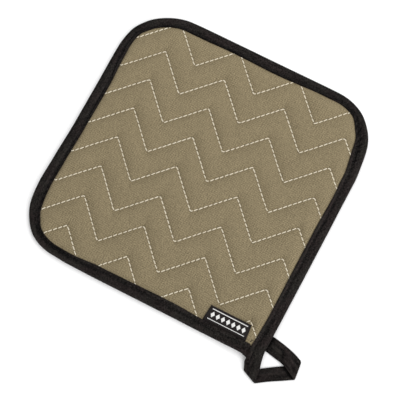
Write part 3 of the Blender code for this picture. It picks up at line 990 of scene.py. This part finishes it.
class Finish:
    """A material with its Principled shader, and the nodes that feed it."""

    def __init__(self, name, **constants):
        self.material = bpy.data.materials.new(name)
        self.material.use_nodes = True
        self.tree = self.material.node_tree
        self.shader = self.tree.nodes["Principled BSDF"]
        for socket, value in constants.items():
            self.shader.inputs[socket.replace("_", " ")].default_value = value

    def node(self, kind, settings=None, inputs=None, output=0):
        """A node of any type: its settings first, then the values or links of its sockets."""
        node = self.tree.nodes.new(kind)
        for setting, value in (settings or {}).items():
            setattr(node, setting, value)
        for socket, value in (inputs or {}).items():
            if isinstance(value, Wire):
                self.tree.links.new(value.socket, node.inputs[socket])
            else:
                node.inputs[socket].default_value = value
        return Wire(self, node.outputs[output])

    def split(self, vector):
        """The three parts of a vector."""
        return [self.node("ShaderNodeSeparateXYZ", None, {0: vector}, part) for part in range(3)]

    def place(self):
        """Where a point of the surface is, in millimetres."""
        spot = self.node("ShaderNodeTexCoord", None, None, "Object")
        return self.node("ShaderNodeVectorMath", {"operation": "SCALE"}, {0: spot, "Scale": 1.0 / MM})

    def mark(self, name, kind="Vector"):
        """A mark left on the mesh's points."""
        return self.node("ShaderNodeAttribute", {"attribute_name": name}, None, kind)

    def together(self, x, y, z=0.0):
        """A vector from its parts."""
        return self.node("ShaderNodeCombineXYZ", None, {0: x, 1: y, 2: z})

    def noise(self, vector, scale=1.0, detail=2.0):
        """Soft noise about 0 to 1, with scale blobs to each step of 1 in the vector."""
        inputs = {"Vector": vector, "Scale": scale, "Detail": detail}
        return self.node("ShaderNodeTexNoise", None, inputs)

    def chance(self, x, y):
        """Its own value from 0 to 1 for each pair of whole numbers."""
        return self.node("ShaderNodeTexWhiteNoise", {"noise_dimensions": "2D"}, {0: self.together(x, y)})

    def blend(self, share, first, second):
        """From one colour at 0 to another at 1."""
        settings = {"data_type": "RGBA"}
        return self.node("ShaderNodeMix", settings, {0: share, 6: first, 7: second}, 2)

    def wear(self, socket, value):
        """Links what varies over the surface to the shader."""
        self.tree.links.new(value.socket, self.shader.inputs[socket])

    def relief(self, height):
        """Bump from a height in millimetres."""
        inputs = {"Strength": 1.0, "Distance": MM, "Height": height}
        self.wear("Normal", self.node("ShaderNodeBump", None, inputs))


# In patches: noise below the first value doesn't show, and above the second it shows in full.
IN_PATCHES = (0.35, 0.65)

# Canvas: three yarns to a repeat of the weave. Each tone shifts it from dark at 0 to light at 1.
WARP_REPEAT = 1.78
WEFT_REPEAT = 1.46
YARNS = 3.0
SLUB_STRETCH = 0.2
GRAIN_TURN = math.radians(-3.5)
GRAIN_SWAY = 1.2
WEAVE_TONE, HEAVY_TONE, CROSSING_TONE, SLUB_TONE, PATCH_TONE = 0.45, 0.14, 0.74, 0.25, 0.12
# Painted shade along the sewn grooves and in the dimples pulled in at each stitch.
STITCH_GROOVE_SHADE, STITCH_GROOVE_SHADE_REACH = 0.12, (0.2, 1.6)
PULL_SHADE, PULL_REACH = 0.04, (0.3, 3.2)
# Painted light on the cloth beside the tape.
BESIDE_TAPE_LIGHT, BESIDE_TAPE_REACH = 0.034, (2.0, 11.0)
WEAVE_RELIEF, SLUB_RELIEF, PULL_RELIEF = 0.08, 0.06, 0.1
CANVAS_DARK = (0.109, 0.0865, 0.0495, 1.0)
CANVAS_LIGHT = (0.305, 0.2475, 0.147, 1.0)


def canvas():
    """Plain-woven canvas, a little off the pad's square, with every third yarn a bit heavier."""
    cloth = Finish("tan_canvas", Roughness=0.9, Specular_IOR_Level=0.2)
    x, y, _ = cloth.split(cloth.place())
    sway = (cloth.noise(cloth.place(), scale=0.12) - 0.5) * GRAIN_SWAY
    u = (x * math.cos(GRAIN_TURN) + y * math.sin(GRAIN_TURN) + sway) / WARP_REPEAT
    v = (y * math.cos(GRAIN_TURN) - x * math.sin(GRAIN_TURN) + sway) / WEFT_REPEAT
    across, down = (u * (math.pi * YARNS)).sin(), (v * (math.pi * YARNS)).sin()
    warp = abs(across) * (across.sign() * down * 0.5 + 0.5)
    weft = abs(down) * (0.5 - down.sign() * across * 0.5)
    weave = warp.over(weft)
    shown = cloth.noise(cloth.place(), scale=0.09).ramp(*IN_PATCHES)
    heavy = (u * math.tau).cos() * shown * HEAVY_TONE + (v * math.tau).cos() * HEAVY_TONE
    slub_warp = cloth.noise(cloth.together(u * YARNS, v * SLUB_STRETCH), detail=1.0)
    slub_weft = cloth.noise(cloth.together(u * SLUB_STRETCH, v * YARNS), detail=1.0)
    warp_end, weft_pick = (u * YARNS).floor(), (v * YARNS).floor()
    # Each crossing's own tone, set off from two of its neighbours' and evenly above and below 0.
    beside = cloth.chance(warp_end + 1.0, weft_pick) + cloth.chance(warp_end, weft_pick + 1.0)
    crossing = cloth.chance(warp_end, weft_pick) - beside * 0.25 - 0.25
    patch = cloth.noise(cloth.place(), scale=0.05) - 0.5
    from_stitch, arms, from_tape = cloth.split(cloth.mark("sewn"))
    pull = (arms * (math.tau * STITCHES_PER_ARM)).cos() * (1.0 - from_stitch.ramp(*PULL_REACH))
    tone = (weave - 0.5) * WEAVE_TONE + heavy + crossing * CROSSING_TONE
    tone = tone + (slub_warp + slub_weft - 1.0) * SLUB_TONE + patch * PATCH_TONE + 0.5
    # Painted shade along the sewn grooves and in the stitch dimples.
    tone = tone - (1.0 - from_stitch.ramp(*STITCH_GROOVE_SHADE_REACH)) * STITCH_GROOVE_SHADE - pull * PULL_SHADE
    # Painted light on the cloth beside the tape.
    tone = tone + (1.0 - from_tape.ramp(*BESIDE_TAPE_REACH)) * BESIDE_TAPE_LIGHT
    cloth.wear("Base Color", cloth.blend(tone, CANVAS_DARK, CANVAS_LIGHT))
    cloth.relief(weave * WEAVE_RELIEF + (slub_warp + slub_weft) * SLUB_RELIEF - pull * PULL_RELIEF)
    return cloth.material


# Tape: its tones shift it from dark at 0 to light at 1. Pressed is 1 along the loop, 0 round the pad.
TWILL_PITCH, TWILL_TONE, TWILL_RELIEF = 0.9, 0.03, 0.05
STREAK_OPEN_TONE, STREAK_PRESSED_TONE, STREAK_RELIEF, STREAK_SHOWN = 0.14, 0.2, 0.5, (0.3, 0.7)
MOTTLE_TONE, MOTTLE_RELIEF = 0.35, 0.5
GRAIN_OPEN_TONE, GRAIN_PRESSED_LOSS, GRAIN_RELIEF = 1.2, 0.6, 0.2
PUCKER_PITCH, PUCKER_SLANT, PUCKER_WANDER, PUCKER_REACH = 6.0, 1.1, 12.0, (0.6, 3.6)
# The puckers' troughs and the dips at each topstitch are darkened: painted shade.
PUCKER_SHADE, PUCKER_RELIEF, PUCKER_SHOWN = 0.2, 0.5, (-0.2, 1.0)
STITCH_PULL_PLACE, STITCH_PULL_REACH = 0.9, (0.2, 1.2)
STITCH_PULL_SHADE, STITCH_PULL_RELIEF = 0.05, 0.1
TAPE_TONE, PRESSED_DARK = 0.18, 0.12
LINT_SHARE, LINT_SHOWN, LINT_BY_PAINTED_SHADING = 0.5, (0.6, 0.78), (-0.3, 0.0)
PAINTED_SHADING_LEAST, PAINTED_SHADING_VARIES = 0.7, 1.4
TAPE_DARK = (0.0011, 0.0008, 0.0007, 1.0)
TAPE_WARM = (0.052, 0.0395, 0.0375, 1.0)
TAPE_COOL = (0.048, 0.043, 0.0378, 1.0)
TAPE_DUST = (0.066, 0.061, 0.06, 1.0)


def black_tape():
    """Black twill tape: fine slanting ribs, streaks and painted light and shade along its lines, lint,
    puckers over its seam.
    """
    tape = Finish("black_tape", Roughness=0.85, Specular_IOR_Level=0.08)
    along, girth, from_seam = tape.split(tape.mark("tape_place"))
    painted_shading = tape.mark("painted_light_and_shade", "Fac")
    pressed = tape.mark("pressed", "Fac")
    twill = ((along + girth) * (math.tau / TWILL_PITCH)).sin()
    # Each noise is stretched along the tape or across it, and a last whole number sets its pattern apart.
    streak = tape.noise(tape.together(along * 0.06, girth * 0.4))
    mottle = tape.noise(tape.together(along * 0.6, girth), scale=0.35, detail=3.0)
    grain = tape.noise(tape.together(along, girth * 0.6), scale=1.2, detail=1.0)
    lint = tape.noise(tape.together(along, girth, 9.0), scale=0.9, detail=1.0).ramp(*LINT_SHOWN)
    wander = tape.noise(tape.together(along * 0.05, 7.0)) * PUCKER_WANDER
    pucker = (along - from_seam * PUCKER_SLANT + wander) * (math.tau / PUCKER_PITCH)
    over_seam = 1.0 - abs(from_seam).ramp(*PUCKER_REACH)
    pucker = pucker.cos().ramp(*PUCKER_SHOWN) * over_seam * tape.mark("puckered", "Fac")
    by_stitches = 1.0 - abs(from_seam - STITCH_PULL_PLACE).ramp(*STITCH_PULL_REACH)
    pull = (along * (math.tau / TOPSTITCH)).cos() * by_stitches * (1.0 - pressed)
    # The painted light and shade from the mesh varies in strength along the tape.
    painted_shading_strength = tape.noise(tape.together(along * 0.08, 3.0)) * PAINTED_SHADING_VARIES + PAINTED_SHADING_LEAST
    tone = streak.ramp(*STREAK_SHOWN) * (pressed * STREAK_PRESSED_TONE + STREAK_OPEN_TONE) + TAPE_TONE
    tone = tone + (mottle - 0.5) * MOTTLE_TONE - pressed * PRESSED_DARK
    tone = tone + (grain - 0.5) * (GRAIN_OPEN_TONE - pressed * GRAIN_PRESSED_LOSS)
    # Painted light and shade from the mesh, and painted shade in the puckers' troughs and at the topstitches'
    # dips.
    tone = tone + twill * TWILL_TONE + painted_shading * painted_shading_strength - pucker * PUCKER_SHADE - pull * STITCH_PULL_SHADE
    tint = tape.noise(tape.together(along * 0.07, girth * 0.1, 5.0)).ramp(*IN_PATCHES)
    tape_colour_with_painted_shade = tape.blend(tone, TAPE_DARK, tape.blend(tint, TAPE_WARM, TAPE_COOL))
    # Lint shows less where the shade is painted darkest.
    tape.wear("Base Color", tape.blend(lint * painted_shading.ramp(*LINT_BY_PAINTED_SHADING) * LINT_SHARE, tape_colour_with_painted_shade, TAPE_DUST))
    height = twill * TWILL_RELIEF + mottle * MOTTLE_RELIEF + grain * GRAIN_RELIEF + streak * STREAK_RELIEF
    tape.relief(height - pucker * PUCKER_RELIEF - pull * STITCH_PULL_RELIEF)
    return tape.material


# Threads: the plies' turn in radians to the millimetre, and tones from shade at 0 to colour at 1.
PLY_TURN = 9.0
PLIES = 2.0
PLY_TONE, OWN_TONE, THREAD_TONE, PLY_RELIEF = 0.25, 0.4, 0.35, 0.05
CREAM, CREAM_SHADE = (0.83, 0.765, 0.615, 1.0), (0.645, 0.58, 0.445, 1.0)
BLACK, BLACK_SHADE = (0.009, 0.008, 0.0075, 1.0), (0.004, 0.0036, 0.0034, 1.0)


def thread(name, colour, shade):
    """Twisted sewing thread, each stitch a little lighter or darker."""
    fibre = Finish(name, Roughness=0.7, Specular_IOR_Level=0.2)
    along, turn, own = fibre.split(fibre.mark("thread"))
    ply = (along * PLY_TURN + turn * PLIES).sin()
    tone = ply * PLY_TONE + own * OWN_TONE + THREAD_TONE
    fibre.wear("Base Color", fibre.blend(tone, shade, colour))
    fibre.relief(ply * PLY_RELIEF)
    return fibre.material


# Label: its rows of weft are PICK apart. The diamonds run between two places along it.
LABEL_DARK = (0.004, 0.0025, 0.002, 1.0)
LABEL_WARM = (0.0125, 0.0085, 0.0075, 1.0)
LABEL_WHITE = (0.9, 0.89, 0.87, 1.0)
PICK = 0.22
DIAMOND_PITCH = 4.1
DIAMOND_HALF = (1.55, 2.2)
DIAMONDS = (2.4, 30.8)
ENDS_FADE = 0.1
LINE_PLACES = (2.5, 10.1)
LINE_EDGE = (0.2, 0.3)
DIAMOND_EDGE = (0.95, 1.05)
RIB_TONE, CLOUD_TONE, RIB_ON_WHITE = 0.15, 1.6, 0.1
RIB_RELIEF, WHITE_RELIEF = 0.03, 0.06


def label_weave():
    """Satin label: black ground, with a woven row of plain diamonds between two thin lines."""
    satin = Finish("label_weave", Roughness=0.55, Specular_IOR_Level=0.2)
    x, y, _ = satin.split(satin.mark("label_place"))
    rib = (y * (math.tau / PICK)).sin()
    cell_x, cell_y = x.snap(PICK), y.snap(PICK)
    middle = 0.5 * (LINE_PLACES[0] + LINE_PLACES[1])
    from_middle = abs(((cell_x - DIAMONDS[0]) / DIAMOND_PITCH).fraction() - 0.5) * DIAMOND_PITCH
    diamond = from_middle / DIAMOND_HALF[0] + abs(cell_y - middle) / DIAMOND_HALF[1]
    shown = 1.0 - diamond.ramp(*DIAMOND_EDGE)
    for place in LINE_PLACES:
        shown = shown.over(1.0 - abs(cell_y - place).ramp(*LINE_EDGE))
    started = cell_x.ramp(DIAMONDS[0] - ENDS_FADE, DIAMONDS[0])
    shown = shown * started * (1.0 - cell_x.ramp(DIAMONDS[1], DIAMONDS[1] + ENDS_FADE))
    cloudy = satin.noise(satin.together(x, y), scale=0.5) - 0.5
    ground = satin.blend(rib * RIB_TONE + cloudy * CLOUD_TONE + 0.5, LABEL_DARK, LABEL_WARM)
    white = shown * (rib * RIB_ON_WHITE + (1.0 - RIB_ON_WHITE))
    satin.wear("Base Color", satin.blend(white, ground, LABEL_WHITE))
    satin.relief(rib * RIB_RELIEF + shown * WHITE_RELIEF)
    return satin.material


def floor_finish():
    """Pale paint that glows a little, so that the floor stays near white."""
    paint = Finish("pale_floor", Roughness=0.95, Specular_IOR_Level=0.1)
    paint.shader.inputs["Base Color"].default_value = FLOOR_COLOUR
    paint.shader.inputs["Emission Strength"].default_value = FLOOR_GLOW
    return paint.material


# Studio


def direction(heading, height):
    """The way to a place at a heading and a height, both in degrees."""
    turn, rise = math.radians(heading), math.radians(height)
    return Vector((math.cos(turn) * math.cos(rise), math.sin(turn) * math.cos(rise), math.sin(rise)))


def studio():
    """Pale floor, soft light from the picture's upper right, and a pale surround."""
    mesh = bpy.data.meshes.new("floor")
    corners = [(x * FLOOR_REACH, y * FLOOR_REACH, 0.0) for x, y in ((-1, -1), (1, -1), (1, 1), (-1, 1))]
    mesh.from_pydata(corners, [], [(0, 1, 2, 3)])
    mesh.materials.append(floor_finish())
    floor = added("floor", mesh)

    for name, heading, height, distance, size, power in LAMPS:
        lamp = bpy.data.lights.new(name, "AREA")
        lamp.shape = "DISK"
        lamp.size = size
        lamp.energy = power
        light = added(name, lamp)
        toward = direction(heading, height)
        light.location = toward * distance
        light.rotation_mode = "QUATERNION"
        light.rotation_quaternion = toward.to_track_quat("Z", "Y")

    world = bpy.data.worlds.new("surround")
    world.use_nodes = True
    sky = world.node_tree.nodes["Background"]
    sky.inputs["Color"].default_value = (1.0, 1.0, 1.0, 1.0)
    sky.inputs["Strength"].default_value = SURROUND
    bpy.context.scene.world = world
    bpy.context.scene.view_settings.view_transform = "Standard"


def camera():
    """The camera over the pad, turned as the photograph was."""
    away = direction(HEADING, ELEVATION)
    place = (Vector(TARGET) + away * DISTANCE) * MM
    upright = away.to_track_quat("Z", "Y").to_matrix().to_4x4()
    lens = bpy.data.cameras.new("camera")
    lens.lens = LENS
    lens.sensor_width = SENSOR
    eye = added("camera", lens)
    eye.matrix_world = Matrix.Translation(place) @ upright @ Matrix.Rotation(math.radians(-ROLL), 4, "Z")
    bpy.context.scene.camera = eye


def main():
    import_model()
    studio()
    camera()
    edge = outline()
    cloth = quilted_cloth(edge, canvas())
    cream = thread("cream_thread", CREAM, CREAM_SHADE)
    quilting_thread(edge, cream, "quilting_thread_top", pad_top, 1.0)
    quilting_thread(edge, cream, "quilting_thread_under", pad_underside, -1.0)
    tape, length, top_line, low_line = binding_tape(edge, black_tape())
    black = thread("black_thread", BLACK, BLACK_SHADE)
    seam = topstitching(edge, (top_line, low_line), black)
    tag = label(edge, label_weave())


main()
